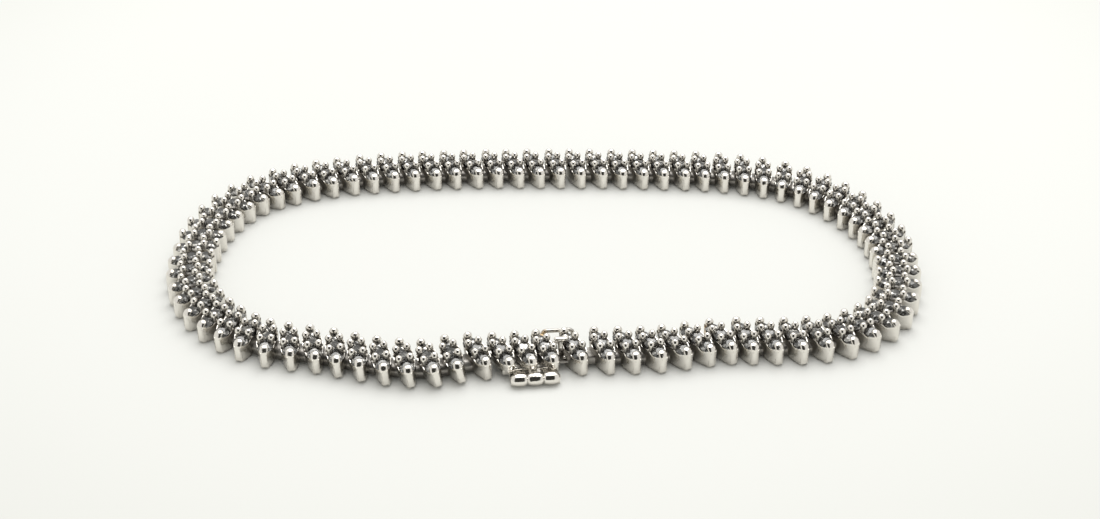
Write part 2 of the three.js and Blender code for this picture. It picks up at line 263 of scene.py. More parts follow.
def lofted(rings):
    """Points and faces of a closed skin through rings of equal counts, with both ends capped."""
    count = len(rings[0])
    points = [point for ring in rings for point in ring]
    faces = []
    for below in range(0, len(points) - count, count):
        above = below + count
        for k in range(count):
            after = (k + 1) % count
            faces.append((below + k, below + after, above + after, above + k))
    faces.append(tuple(reversed(range(count))))
    faces.append(tuple(range(len(points) - count, len(points))))
    return points, faces


def circle(sides, start=0.0):
    """Angles of evenly spaced corners round a circle."""
    return [2 * math.pi * (k + start) / sides for k in range(sides)]


def trough_section(side, foot, rim, shade_level):
    """Closed section of the trough: rows of (across, up, painted shade), from the middle of the foot.

    Side is its half width, and the last the painted shade of its flanks; its hollow is painted dark.
    """
    taper = FOOT_TAPER + (1 - FOOT_TAPER) * foot / rim
    wall = min(WALL, side * 0.5)
    underside = [
        (0, foot, 0),
        (side * taper - 0.16 * MM, foot, shade_level),
        (side * taper, foot + 0.12 * MM, shade_level * 0.7),
    ]
    flank = [
        (side * (0.42 + 0.58 * taper), foot + (rim - foot) * 0.3, shade_level * 0.8),
        (side * 0.95, foot + (rim - foot) * 0.6, shade_level),
        (side, rim - 0.2 * MM, shade_level),
        (side, rim - 0.06 * MM, shade_level * 0.6),
    ]
    edge = [
        (side - 0.02 * MM, rim, 0),
        (side - min(0.12 * MM, side * 0.35), rim - 0.005 * MM, 0),
    ]
    hollow = [
        (side - wall, rim - 0.1 * MM, 1),
        (side - wall - 0.02 * MM, rim - 0.42 * MM, 1),
        (0, max(rim - 0.7 * MM, foot + 0.08 * MM), 1),
    ]
    right = underside + flank + edge + hollow
    return right + [(-x, z, point_shade) for x, z, point_shade in right[-2:0:-1]]


def trough(foot):
    """The boat-shaped trough from the outer end to the inner one, cut off below at foot."""
    stations = 36
    rings = []
    recess = []
    for step in range(stations + 1):
        t = 2 * step / stations - 1
        y = (SETTING_LENGTH / 2 - END_CLEARANCE) * t
        side = END_WIDTH / 2 + (SETTING_WIDTH - END_WIDTH) / 2 * (1 - abs(t) ** 2.4)
        scallop = -SCALLOP * math.cos(2 * math.pi * abs(y) / STONE_PITCH)
        rim = RIM_HEIGHT - RIM_FALL * t * t + scallop
        # Painted shade on the flanks, darkest in the middle of the run and fading out near the ends
        shade_level = 0.8 * max(1 - abs(t) ** 3 * 1.25, 0)
        ring = []
        for x, z, point_shade in trough_section(side, foot, rim, shade_level):
            low = max(END_CORNER - (z - foot), 0)
            inset = END_CORNER - math.sqrt(max(END_CORNER * END_CORNER - low * low, 0))
            ring.append((x, y - math.copysign(inset * abs(t) ** 6, y), z))
            recess.append(point_shade)
        rings.append(ring)
    points, faces = lofted(rings)
    return points, faces, recess


def arc(middle, radius, first, last, steps):
    """Points (out, z) along an arc between two angles in degrees."""
    turns = [math.radians(first + (last - first) * k / steps) for k in range(steps + 1)]
    return [(middle[0] + radius * math.cos(turn), middle[1] + radius * math.sin(turn)) for turn in turns]


def end_prong(foot, side, top):
    """Flat prong up one end, its tip folded over the outer stone. Side is -1 outside, 1 inside.

    The path runs from the keel up the shank, round the hook and down to the tip, and has one half
    width in millimetres and one share of the crown's thickness for each of its points.
    """
    end = SETTING_LENGTH / 2
    crown = OUTER_CROWN if side < 0 else INNER_CROWN
    bend = HOOK_RADIUS if side < 0 else HOOK_RADIUS * 0.75
    breadth = 0.42 if side < 0 else 0.38
    keel = arc((end - KEEL_RADIUS, foot + KEEL_RADIUS), KEEL_RADIUS - crown, -85, 0, 4)
    shank = [(end - crown, foot + (top - bend - foot) * 0.55)]
    hook = arc((end - bend, top - bend), bend - crown, 0, 96, 8)
    tip = [
        (end - bend - reach * MM, top - crown - drop * MM)
        for reach, drop in ((0.13, 0.02), (0.2, 0.05), (0.23, 0.07))
    ]
    path = keel + shank + hook + tip
    half_widths = [0.22, 0.3, 0.36, 0.39, 0.4, 0.39, 0.4, 0.42] + [breadth] * 6
    half_widths += [breadth * share for share in (0.92, 0.76, 0.5, 0.24)]
    thicknesses = [0.3, 0.6, 0.8] + [1] * 9 + [1.03, 1.05, 1.05, 0.95, 0.7, 0.3]
    outside = [(1, 0), (0.96, 0.36), (0.8, 0.66), (0.45, 0.91), (0, 1)]
    inside = [(-0.8, -0.42), (0, -0.5), (0.8, -0.42)]
    section = outside + [(-across, up) for across, up in outside[-2::-1]] + inside
    rings = []
    for i, (out, z) in enumerate(path):
        before = Vector(path[max(i - 1, 0)])
        after = Vector(path[min(i + 1, len(path) - 1)])
        run = (after - before).normalized()
        wide = half_widths[i] * MM
        thick = crown * thicknesses[i]
        rings.append(
            [
                (-side * across * wide, side * (out + run.y * up * thick), z - run.x * up * thick)
                for across, up in section
            ]
        )
    return lofted(rings)


def bead_prong(x, y, height=BEAD_HEIGHT, head=BEAD_RADIUS, stretch=1.0):
    """Round prong beside a stone, its head a ball shaped by the beading tool."""
    sides = 12
    stem = head * 0.82
    profile = [(STEM_FOOT, stem * 0.95), (height - 0.55 * MM, stem), (height - 0.3 * MM, stem)]
    for degrees in (-25, -4, 17, 38, 59, 80):
        turn = math.radians(degrees)
        profile.append((height + head * math.sin(turn), head * math.cos(turn)))
    rings = [
        [(x + stretch * radius * math.cos(t), y + radius * math.sin(t), z) for t in circle(sides)]
        for z, radius in profile
    ]
    points, faces = lofted(rings)
    faces.pop()
    last = len(points) - sides
    points = points + [(x, y, height + head)]
    faces += [(last + k, last + (k + 1) % sides, len(points) - 1) for k in range(sides)]
    # Painted shade: the stem is marked fully dark, the neck a little less, the underside of the head lightly,
    # the top not at all
    recess = [1.0] * sides * 2 + [0.8] * sides + [0.3] * sides + [0.0] * (len(points) - 4 * sides)
    return points, faces, recess


def joined_mesh(name, shells, sharp=50):
    """One mesh from shells of points, faces and, where they have it, painted shade for each point.

    It is shaded smooth apart from edges sharper than the given degrees.
    """
    points = []
    faces = []
    recess = []
    for shell in shells:
        start = len(points)
        points += shell[0]
        faces += [tuple(start + corner for corner in face) for face in shell[1]]
        recess += shell[2] if len(shell) > 2 else [0.0] * len(shell[0])
    mesh = bpy.data.meshes.new(name)
    mesh.from_pydata([tuple(point) for point in points], [], faces)
    mesh.attributes.new("recess", "FLOAT", "POINT").data.foreach_set("value", recess)
    mesh.validate()
    mesh.shade_smooth()
    mesh.set_sharp_from_angle(angle=math.radians(sharp))
    return mesh


def sloped(shells, slope):
    """The shells with their tops raised towards the inner end, and their feet left where they are."""
    done = []
    for points, *rest in shells:
        raised = [(x, y, z + slope * y * z / BEAD_HEIGHT) for x, y, z in points]
        done.append((raised, *rest))
    return done


def mark_rise(mesh):
    """Stores how far each point rises for a slope of one, for the geometry nodes to read."""
    rise = mesh.attributes.new("rise", "FLOAT", "POINT")
    rise.data.foreach_set("value", [v.co.y * v.co.z / BEAD_HEIGHT for v in mesh.vertices])


def casting(name, foot, slope=0.0):
    """One whole setting without its stones, cut off below at foot."""
    shells = [trough(foot), end_prong(foot, -1, OUTER_END_TOP), end_prong(foot, 1, INNER_END_TOP)]
    shells += [bead_prong(x, y) for x in (-PRONG_SPREAD, PRONG_SPREAD) for y in (-PRONG_AT, PRONG_AT)]
    inner_end = SETTING_LENGTH / 2 - INNER_HEAD_RADIUS - 0.01 * MM
    shells.append(bead_prong(0, inner_end, INNER_HEAD_HEIGHT, INNER_HEAD_RADIUS, INNER_HEAD_STRETCH))
    mesh = joined_mesh(name, sloped(shells, slope))
    mark_rise(mesh)
    return mesh


def hidden_source(name, mesh):
    """An object that only the geometry nodes read."""
    source = bpy.data.objects.new(name, mesh)
    bpy.context.scene.collection.objects.link(source)
    source.hide_render = True
    return source


def route_curve():
    """The route as a fine polyline that carries the lead and the lean of the settings.

    The curve passes through each row, and its knots follow the root of the steps between them, so
    that it doesn't overshoot where the steps are uneven.
    """
    rows = np.array(ROUTE, float)
    rows = np.vstack([2 * rows[0] - rows[1], rows, 2 * rows[-1] - rows[-2]])
    fine = []
    for i in range(1, len(rows) - 2):
        p = rows[i - 1 : i + 3]
        steps = np.sqrt(np.linalg.norm(np.diff(p[:, :2], axis=0), axis=1))
        knots = np.concatenate([[0], np.cumsum(steps)])
        for t in np.linspace(knots[1], knots[2], 24, endpoint=False):
            a = [((knots[k + 1] - t) * p[k] + (t - knots[k]) * p[k + 1]) / steps[k] for k in range(3)]
            b = [
                ((knots[k + 2] - t) * a[k] + (t - knots[k]) * a[k + 1]) / (knots[k + 2] - knots[k])
                for k in range(2)
            ]
            fine.append(((knots[2] - t) * b[0] + (t - knots[1]) * b[1]) / steps[1])
    fine.append(rows[-2])
    points = [Vector((row[0], row[1], 0)) * MM - PLAN_CENTRE for row in fine]
    mesh = bpy.data.meshes.new("route")
    mesh.from_pydata([tuple(point) for point in points], [(i, i + 1) for i in range(len(points) - 1)], [])
    for column, name in ((2, "lead"), (3, "lean")):
        angles = mesh.attributes.new(name, "FLOAT", "POINT")
        angles.data.foreach_set("value", [math.radians(row[column]) for row in fine])
    return mesh


def named_value(graph, name):
    """A number stored on the points."""
    node = graph.add("GeometryNodeInputNamedAttribute", {"data_type": "FLOAT"}, {"Name": name})
    return Wire(graph, node.outputs[0])


def vector(graph, x=0.0, y=0.0, z=0.0):
    return graph.add("ShaderNodeCombineXYZ", None, {0: x, 1: y, 2: z}).outputs[0]


def shifted(graph, geometry, offset):
    return graph.add("GeometryNodeSetPosition", None, {"Geometry": geometry, "Offset": offset}).outputs[0]


def turned(graph, rotation, angles):
    """The rotation turned further by the angles about its own axes."""
    return graph.add(
        "FunctionNodeRotateRotation", {"rotation_space": "LOCAL"}, {0: rotation, 1: angles}
    ).outputs[0]


def from_to(graph, given, first, last):
    """One at the points from the one input's number to the other's, both included."""
    index = Wire(graph, graph.add("GeometryNodeInputIndex").outputs[0])
    above = index.sum("GREATER_THAN", index, Wire(graph, given[first]) - 0.5)
    return above * index.sum("LESS_THAN", index, Wire(graph, given[last]) + 0.5)


def pieces_on_points(graph, given, points, selection):
    """The piece on each point: turned with the route, with its lead, its lean and a slight wobble."""
    wobble = Wire(graph, given["Wobble"])
    lead = named_value(graph, "lead")
    lean = named_value(graph, "lean")
    tilts = []
    for seed in range(3):
        random = graph.add(
            "FunctionNodeRandomValue",
            {"data_type": "FLOAT"},
            {2: -1 * wobble, 3: wobble, "Seed": Wire(graph, given["Seed"]) + seed},
        )
        tilts.append(Wire(graph, random.outputs[1]))
    tangent = graph.add("GeometryNodeInputTangent").outputs[0]
    along = graph.add(
        "FunctionNodeAlignRotationToVector", {"axis": "X", "pivot_axis": "Z"}, {"Vector": tangent}
    )
    half_turn = from_to(graph, given, "Turned First", "Turned Last") * math.pi
    upright = turned(graph, along.outputs[0], vector(graph, z=lead + tilts[0] + half_turn))
    leaning = turned(graph, upright, vector(graph, tilts[1] * 0.35, -1 * lean + tilts[2] * 0.5))

    # A leaning piece turns about its hinge bar, and rises so that its foot stays on the table
    lean_share = lean.sum("SINE", lean)
    aside = graph.add(
        "FunctionNodeRotateVector", None, {0: vector(graph, lean_share * given["Bar Height"]), 1: upright}
    )
    upwards = vector(graph, z=lean_share * given["Half Width"])
    seat = graph.add("ShaderNodeVectorMath", {"operation": "ADD"}, {0: aside.outputs[0], 1: upwards})
    piece = graph.add("GeometryNodeObjectInfo", None, {"Object": given["Piece"], "As Instance": True})
    placed = graph.add(
        "GeometryNodeInstanceOnPoints",
        None,
        {
            "Points": shifted(graph, points, seat.outputs[0]),
            "Selection": selection,
            "Instance": piece.outputs["Geometry"],
            "Rotation": leaning,
        },
    )
    return placed.outputs[0]


def bar_through_points(graph, given, points, selection):
    """One bar through the selected points, painted dark as shade, or nothing where there are no bars."""
    kept = graph.add("GeometryNodeDeleteGeometry", {"domain": "POINT"}, {0: points, 1: 1 - selection})
    profile = graph.add(
        "GeometryNodeCurvePrimitiveQuadrilateral",
        {"mode": "RECTANGLE"},
        {0: given["Bar Width"], 1: given["Bar Depth"]},
    )
    bar = graph.add(
        "GeometryNodeCurveToMesh",
        None,
        {
            "Curve": shifted(graph, kept.outputs[0], vector(graph, z=given["Bar Height"])),
            "Profile Curve": profile.outputs[0],
            "Fill Caps": True,
        },
    )
    # The bar is painted fully dark, as painted shade between the settings
    painted_dark_bar = graph.add(
        "GeometryNodeStoreNamedAttribute",
        {"data_type": "FLOAT", "domain": "POINT"},
        {"Geometry": bar.outputs[0], "Name": "recess", "Value": 1.0},
    )
    barred = graph.add(
        "GeometryNodeSwitch", {"input_type": "GEOMETRY"}, {"Switch": given["Barred"], "True": painted_dark_bar.outputs[0]}
    )
    return barred.outputs[0]


def with_sloping_tops(graph, given, geometry):
    """The tops rise towards the far side of the table, most at the near and the far stretch."""
    position = graph.add("GeometryNodeInputPosition").outputs[0]
    y = graph.add("ShaderNodeSeparateXYZ", None, {0: position}).outputs[1]
    side = 1 - 2 * Wire(graph, y).between(NEAR_SIDE_Y, FAR_SIDE_Y)
    height = side.sum("ABSOLUTE", side) * given["Top Slope"] * named_value(graph, "rise")
    return shifted(graph, geometry, vector(graph, z=height))


def run_tree():
    """Geometry nodes that set one object at even steps along the route, and a bar through them."""
    tree = bpy.data.node_groups.new("pieces along the run", "GeometryNodeTree")
    tree.interface.new_socket("Route", in_out="INPUT", socket_type="NodeSocketGeometry")
    for name, kind in (
        ("Piece", "Object"),
        ("Steps", "Int"),
        ("First", "Int"),
        ("Last", "Int"),
        ("Turned First", "Int"),
        ("Turned Last", "Int"),
        ("Top Slope", "Float"),
        ("Wobble", "Float"),
        ("Half Width", "Float"),
        ("Barred", "Bool"),
        ("Bar Width", "Float"),
        ("Bar Depth", "Float"),
        ("Bar Height", "Float"),
        ("Seed", "Int"),
        ("Finish", "Material"),
    ):
        tree.interface.new_socket(name, in_out="INPUT", socket_type="NodeSocket" + kind)
    tree.interface.new_socket("Geometry", in_out="OUTPUT", socket_type="NodeSocketGeometry")
    graph = Graph(tree)
    given = graph.add("NodeGroupInput").outputs
    curve = graph.add("GeometryNodeMeshToCurve", None, {"Mesh": given["Route"]}).outputs[0]
    count = Wire(graph, given["Steps"]) + 1
    even = graph.add("GeometryNodeResampleCurve", {"mode": "COUNT"}, {"Curve": curve, "Count": count})
    points = even.outputs[0]
    selection = from_to(graph, given, "First", "Last")
    both = graph.add("GeometryNodeJoinGeometry")
    graph.plug(both.inputs[0], bar_through_points(graph, given, points, selection))
    graph.plug(both.inputs[0], pieces_on_points(graph, given, points, selection))
    real = graph.add("GeometryNodeRealizeInstances", None, {0: both.outputs[0]})
    sloping = with_sloping_tops(graph, given, real.outputs[0])
    finished = graph.add("GeometryNodeSetMaterial", None, {0: sloping, "Material": given["Finish"]})
    graph.add("NodeGroupOutput", None, {"Geometry": finished.outputs[0]})
    return tree


def along_the_run(name, tree, route, values):
    """Runs the tree on the route and keeps the result as a plain mesh object."""
    carrier = bpy.data.objects.new(name + "_carrier", route)
    bpy.context.scene.collection.objects.link(carrier)
    modifier = carrier.modifiers.new("run", "NODES")
    modifier.node_group = tree
    for item in tree.interface.items_tree:
        if item.in_out == "INPUT" and item.name in values:
            modifier[item.identifier] = values[item.name]
    carrier.update_tag()
    evaluated = carrier.evaluated_get(bpy.context.evaluated_depsgraph_get())
    mesh = bpy.data.meshes.new_from_object(evaluated)
    bpy.data.objects.remove(carrier)
    return shown_piece(name, mesh)


def shown_piece(name, mesh, material=None):
    """A visible object at the origin, with one material where that is given."""
    mesh.name = name
    piece = bpy.data.objects.new(name, mesh)
    bpy.context.scene.collection.objects.link(piece)
    if material:
        mesh.materials.clear()
        mesh.materials.append(material)
    return piece


cast_gold = white_gold("cast_white_gold", 0.1, 0.92, 0.6)
setting_source = hidden_source("setting_source", casting("setting", 0.0))
route = route_curve()
tree = run_tree()
halves = {"right": (1, LEFT_HALF_FIRST - 1), "left": (LEFT_HALF_FIRST, CHAIN_STEPS)}
shared_values = {
    "Steps": CHAIN_STEPS,
    "Turned First": TURNED_FIRST,
    "Turned Last": TURNED_LAST,
    "Top Slope": TOP_SLOPE,
    "Wobble": WOBBLE,
    "Half Width": SETTING_WIDTH / 2,
    "Bar Height": HINGE_HEIGHT,
    "Seed": SEED,
}
setting_values = {
    "Piece": setting_source,
    "Barred": True,
    "Bar Width": 2 * HINGE_HALF_WIDTH,
    "Bar Depth": 2 * HINGE_HALF_HEIGHT,
    "Finish": cast_gold,
}

for side, (first, last) in halves.items():
    ends = {"First": first, "Last": last}
    settings = along_the_run(f"settings_{side}", tree, route, shared_values | setting_values | ends)
    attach(settings, "bracelet")
    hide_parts(f"chain_{side}_half")

# Stones
# Round brilliant-cut diamonds of about 1.4 mm, slightly grey, three to a setting. Each sits with its
# girdle just above the scalloped rim and is held by the prongs; the outer two tip outwards.

GIRDLE_RADIUS = 0.715 * MM
TABLE_RADIUS = 0.4 * MM
CROWN_HEIGHT = 0.28 * MM
PAVILION_DEPTH = 0.5 * MM
MIDDLE_GIRDLE = 2.08 * MM
OUTER_GIRDLE = 1.9 * MM
OUTER_TIP = math.radians(11)
GOLDEN_RATIO = 0.618034


def ring(count, radius, height, offset=0.0):
    return [Vector((radius * math.cos(t), radius * math.sin(t), height)) for t in circle(count, offset)]


def brilliant():
    """Round brilliant about its girdle: table, stars, kites, upper girdle facets and pavilion.

    Points 0 to 7 are the table's, 8 to 15 the shoulder's, 16 to 31 the girdle's, 32 to 47 those of
    its lower edge, and 48 is the tip below.
    """
    table = ring(8, TABLE_RADIUS, CROWN_HEIGHT)
    shoulder = ring(8, TABLE_RADIUS * 1.42, CROWN_HEIGHT * 0.6, 0.5)
    girdle = ring(16, GIRDLE_RADIUS, 0.02 * MM)
    under = ring(16, GIRDLE_RADIUS, -0.03 * MM)
    points = table + shoulder + girdle + under + [Vector((0, 0, -PAVILION_DEPTH))]
    faces = [tuple(range(8))]
    for k in range(8):
        after = (k + 1) % 8
        before = (k - 1) % 8
        faces.append((k, 8 + k, after))
        faces.append((k, 8 + before, 16 + 2 * k, 8 + k))
        faces.append((8 + k, 16 + 2 * k, 16 + 2 * k + 1))
        faces.append((8 + k, 16 + 2 * k + 1, 16 + (2 * k + 2) % 16))
    for k in range(16):
        after = (k + 1) % 16
        faces.append((16 + k, 32 + k, 32 + after, 16 + after))
        faces.append((32 + k, 48, 32 + after))
    return points, faces


def cut_stones(name, shells):
    """Flat-faceted stones with a glint for each facet, spread evenly by steps of the golden ratio."""
    mesh = joined_mesh(name, shells)
    mesh.shade_flat()
    glint = mesh.attributes.new("glint", "FLOAT", "FACE")
    glint.data.foreach_set("value", [(k * GOLDEN_RATIO) % 1 for k in range(len(mesh.polygons))])
    return mesh


def stones_of_one_setting(name, slope=0.0):
    """The middle stone and the two outer ones, each spun by its own amount."""
    shells = []
    for place in (-1, 0, 1):
        points, faces = brilliant()
        tip = Matrix.Rotation(-place * OUTER_TIP, 4, "X")
        spin = Matrix.Rotation(0.35 + 1.1 * place, 4, "Z")
        height = MIDDLE_GIRDLE if place == 0 else OUTER_GIRDLE
        move = Matrix.Translation((0, place * STONE_PITCH, height)) @ tip @ spin
        shells.append(([move @ point for point in points], faces))
    mesh = cut_stones(name, sloped(shells, slope))
    mark_rise(mesh)
    return mesh


def diamond(name):
    """Cut diamond: clear glass over facets painted dark and bright, as painted reflections and glints."""
    material, graph = new_material(name)
    where = place_on_piece(graph)
    glint = Wire(graph, graph.add("ShaderNodeAttribute", {"attribute_name": "glint"}).outputs["Fac"])
    cells = graph.add("ShaderNodeTexVoronoi", None, {"Vector": where, "Scale": 3600})
    spread = Wire(graph, graph.add("ShaderNodeSeparateColor", None, {0: cells.outputs["Color"]}).outputs[0])
    # Painted reflections: facets painted near black, as the dark camera side seen in the stone, and some
    # bright, as glints
    fire = (spread * 0.65 + glint * 0.45).between(0.5, 1.0)
    glass = graph.add(
        "ShaderNodeBsdfPrincipled",
        None,
        {"Base Color": (0.9, 0.91, 0.9, 1), "Roughness": 0.02, "IOR": 2.2, "Transmission Weight": 1.0},
    )
    facet = graph.add(
        "ShaderNodeBsdfPrincipled",
        None,
        {
            "Base Color": mixed(graph, fire, (0.10, 0.098, 0.093, 1), (0.85, 0.83, 0.78, 1)),
            "Roughness": 0.05,
            "Metallic": 0.85,
        },
    )
    both = graph.add("ShaderNodeMixShader", None, {0: 0.6, 1: glass.outputs[0], 2: facet.outputs[0]})
    graph.add("ShaderNodeOutputMaterial", None, {"Surface": both.outputs[0]})
    return material


cut_diamond = diamond("cut_diamond")
stones_source = hidden_source("stones_source", stones_of_one_setting("stones"))
stone_values = {"Piece": stones_source, "Barred": False, "Finish": cut_diamond}

for side, (first, last) in halves.items():
    ends = {"First": first, "Last": last}
    stones = along_the_run(f"stones_{side}", tree, route, shared_values | stone_values | ends)
    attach(stones, "bracelet")

# Clasp box
# Sheet-metal box soldered under three shortened settings, polished outside. It takes the tongue
# through its right-hand end, and carries the middle knuckle of the guard and the catch's hinge tube.

# Place of the clasp in the plan, its turn, and the lead of its settings. Sizes below are in the
# clasp's own directions: x along it from the middle, y inwards
CLASP_MIDDLE = Vector((-2.05, -18.75, 0)) * MM
CLASP_TURN = math.radians(6.5)
CLASP_LEAD = math.radians(19)

# The shortened settings, and the box under them
SHORT_FOOT = 0.98 * MM
SHORT_SETTINGS = (-2.45 * MM, -0.38 * MM, 1.6 * MM)
BOX_MIDDLE = -0.56 * MM
BOX_LENGTH = 5.1 * MM
BOX_WIDTH = 3.7 * MM
BOX_BOTTOM = 0.46 * MM
BOX_TOP = 1.16 * MM
BOX_EASE = 0.14 * MM

# The barrel, with a web from its middle knuckle to the box
BARREL_X = 0.4 * MM
BARREL_Y = -2.95 * MM
BARREL_Z = 0.64 * MM
KNUCKLE_RADIUS = 0.61 * MM
KNUCKLE_HALF = 0.72 * MM
WEB_Y = -2.25 * MM
WEB_HALF_LENGTH = 0.55 * MM
WEB_HALF_WIDTH = 0.45 * MM

# The catch's hinge tube, on a foot that reaches out from the box
CATCH_X = 1.72 * MM
CATCH_Y = 2.86 * MM
TUBE_RADIUS = 0.29 * MM
TUBE_BOTTOM = 0.7 * MM
TUBE_TOP = 1.6 * MM
TUBE_FOOT_TOP = 1.06 * MM
TUBE_FOOT_HALF_LENGTH = 0.2 * MM
TUBE_FOOT_START = 1.8 * MM


def moved(shell, matrix):
    """The shell with its points moved by the matrix."""
    points = [matrix @ Vector(point) for point in shell[0]]
    return (points, *shell[1:])


def as_shell(mesh):
    """The mesh as points, faces and painted shade, to be placed and joined with others."""
    recess = [0.0] * len(mesh.vertices)
    mesh.attributes["recess"].data.foreach_get("value", recess)
    return ([v.co.copy() for v in mesh.vertices], [tuple(p.vertices) for p in mesh.polygons], recess)


def lead_at(x):
    """Puts a setting at x along the clasp, its outer end leading like the rest of the run."""
    return Matrix.Translation((x, 0, 0)) @ Matrix.Rotation(CLASP_LEAD, 4, "Z")


def rectangle(half_x, half_y, middle_x=0.0, middle_y=0.0):
    """Corners of a rectangle from its half sizes and its middle."""
    corners = ((-1, -1), (1, -1), (1, 1), (-1, 1))
    return [(middle_x + right * half_x, middle_y + up * half_y) for right, up in corners]


def leaning_rectangle(half_x, half_y, middle_x):
    """A rectangle whose ends lean as much as the settings lead."""
    lean = math.tan(CLASP_LEAD)
    return [(x - y * lean, y) for x, y in rectangle(half_x, half_y, middle_x)]


def plate(outline, bottom, top, ease=0.05 * MM, shade_level=0.0):
    """Flat plate over an outline, its upper and lower edges eased, with the given painted shade."""
    corners = [Vector(point) for point in outline]
    middle = sum(corners, Vector((0, 0))) / len(corners)

    def level(inset, height):
        inner = [corner - (corner - middle).normalized() * inset for corner in corners]
        return [(point.x, point.y, height) for point in inner]

    levels = [level(ease, bottom), level(0, bottom + ease), level(0, top - ease), level(ease, top)]
    points, faces = lofted(levels)
    return points, faces, [shade_level] * len(points)


def knuckle(start, end, radius, first=0.8, last=0.8):
    """Crowned knuckle along x at the barrel, its radius shrunk at either end to the given share."""
    rings = []
    for step in range(13):
        t = step / 6 - 1
        share = 1 - (1 - (first if t < 0 else last)) * abs(t) ** 2.2
        size = radius * share - (0.05 * MM if abs(t) == 1 else 0)
        x = (start + end) / 2 + (end - start) / 2 * t
        rings.append([(x, BARREL_Y + size * math.cos(a), BARREL_Z + size * math.sin(a)) for a in circle(20)])
    return lofted(rings)


clasp_place = Matrix.Translation(CLASP_MIDDLE - PLAN_CENTRE) @ Matrix.Rotation(CLASP_TURN, 4, "Z")
short = as_shell(casting("short_setting", SHORT_FOOT, TOP_SLOPE))
short_stones = as_shell(stones_of_one_setting("short_stones", TOP_SLOPE))

box_outline = leaning_rectangle(BOX_LENGTH / 2, BOX_WIDTH / 2, BOX_MIDDLE)
web_outline = rectangle(WEB_HALF_LENGTH, WEB_HALF_WIDTH, BARREL_X, WEB_Y)
tube_outline = [
    (CATCH_X + TUBE_RADIUS * math.cos(t), CATCH_Y + TUBE_RADIUS * math.sin(t)) for t in circle(16)
]
tube_foot_width = CATCH_Y - TUBE_FOOT_START
tube_foot_outline = rectangle(
    TUBE_FOOT_HALF_LENGTH, tube_foot_width / 2, CATCH_X, TUBE_FOOT_START + tube_foot_width / 2
)
# The box and the web are painted half dark, as painted shade under the settings.
box_shells = [moved(short, lead_at(x)) for x in SHORT_SETTINGS] + [
    plate(box_outline, BOX_BOTTOM, BOX_TOP, BOX_EASE, 0.5),
    knuckle(BARREL_X - KNUCKLE_HALF, BARREL_X + KNUCKLE_HALF, KNUCKLE_RADIUS),
    plate(web_outline, BOX_BOTTOM + 0.04 * MM, BOX_TOP - 0.1 * MM, shade_level=0.5),
    plate(tube_outline, TUBE_BOTTOM, TUBE_TOP),
    plate(tube_foot_outline, TUBE_BOTTOM, TUBE_FOOT_TOP),
]
box_mesh = joined_mesh("clasp_box", [moved(shell, clasp_place) for shell in box_shells])
box = shown_piece("clasp_box_dressed", box_mesh, cast_gold)
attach(box, "bracelet")
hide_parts("clasp_box")

box_stone_shells = [moved(short_stones, clasp_place @ lead_at(x)) for x in SHORT_SETTINGS]
box_stones = shown_piece("clasp_box_stones", cut_stones("clasp_box_stones", box_stone_shells), cut_diamond)
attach(box_stones, "bracelet")

# Tongue end
# Full-height end setting soldered to a folded spring tongue that snaps into the box. A T-shaped
# thumb tab stands on the tongue in the gap, and a ball stud on the inner end holds the catch.

# Places along the clasp of the end setting, the thumb tab and the ball stud
END_AT = 4.24 * MM
TAB_AT = 3.12 * MM
TAB_INWARDS = 0.3 * MM
STUD_AT = 3.92 * MM

# The tongue, and the thick lug at its root that couples to the chain
TONGUE_HALF_LENGTH = 2.5 * MM
TONGUE_HALF_WIDTH = 0.85 * MM
TONGUE_BOTTOM = 0.7 * MM
TONGUE_TOP = 0.9 * MM
LUG_AT = END_AT + 1.1 * MM
LUG_HALF_LENGTH = 0.8 * MM
LUG_BOTTOM = 0.3 * MM
LUG_TOP = 1.2 * MM

# The ball stud on its arm, and the small ball that stands beside the tab's stem
STUD_RADIUS = 0.33 * MM
STUD_HEIGHT = 1.16 * MM
ARM_HALF_THICKNESS = 0.13 * MM
ARM_HALF_LENGTH = 0.5 * MM
SMALL_BALL_RADIUS = 0.2 * MM
SMALL_BALL_PLACE = (TAB_AT + 0.25 * MM, -0.42 * MM, 1.05 * MM)


def ball(radius, middle, rows=8, sides=14):
    """Ball with a small flat at its top and bottom."""
    x, y, z = middle
    rings = []
    for row in range(1, rows):
        tilt = math.pi * row / rows - math.pi / 2
        size = radius * math.cos(tilt)
        height = z + radius * math.sin(tilt)
        rings.append([(x + size * math.cos(t), y + size * math.sin(t), height) for t in circle(sides)])
    return lofted(rings)


def thumb_tab():
    """Stem that widens upwards into a dished cap, long the way the band runs.

    The rows are height, half length along the band and half width across it, in millimetres.
    """
    rows = [
        (0.7, 0.2, 0.14),
        (1.3, 0.23, 0.15),
        (1.9, 0.29, 0.16),
        (2.3, 0.34, 0.17),
        (2.46, 0.45, 0.2),
        (2.56, 0.62, 0.24),
        (2.66, 0.67, 0.26),
        (2.74, 0.64, 0.25),
        (2.8, 0.5, 0.17),
    ]

    def squared(share):
        return math.copysign(abs(share) ** 0.6, share)

    rings = []
    for height, half_length, half_width in rows:
        corners = [(squared(math.cos(t)), squared(math.sin(t))) for t in circle(16, 0.5)]
        rings.append([(x * half_length * MM, y * half_width * MM, height * MM) for x, y in corners])
    return lofted(rings)


lug_outline = rectangle(LUG_HALF_LENGTH, TONGUE_HALF_WIDTH, LUG_AT)
tongue_outline = rectangle(TONGUE_HALF_LENGTH, TONGUE_HALF_WIDTH, END_AT - TONGUE_HALF_LENGTH)
arm_outline = rectangle(ARM_HALF_THICKNESS, ARM_HALF_LENGTH, STUD_AT, CATCH_Y - ARM_HALF_LENGTH)
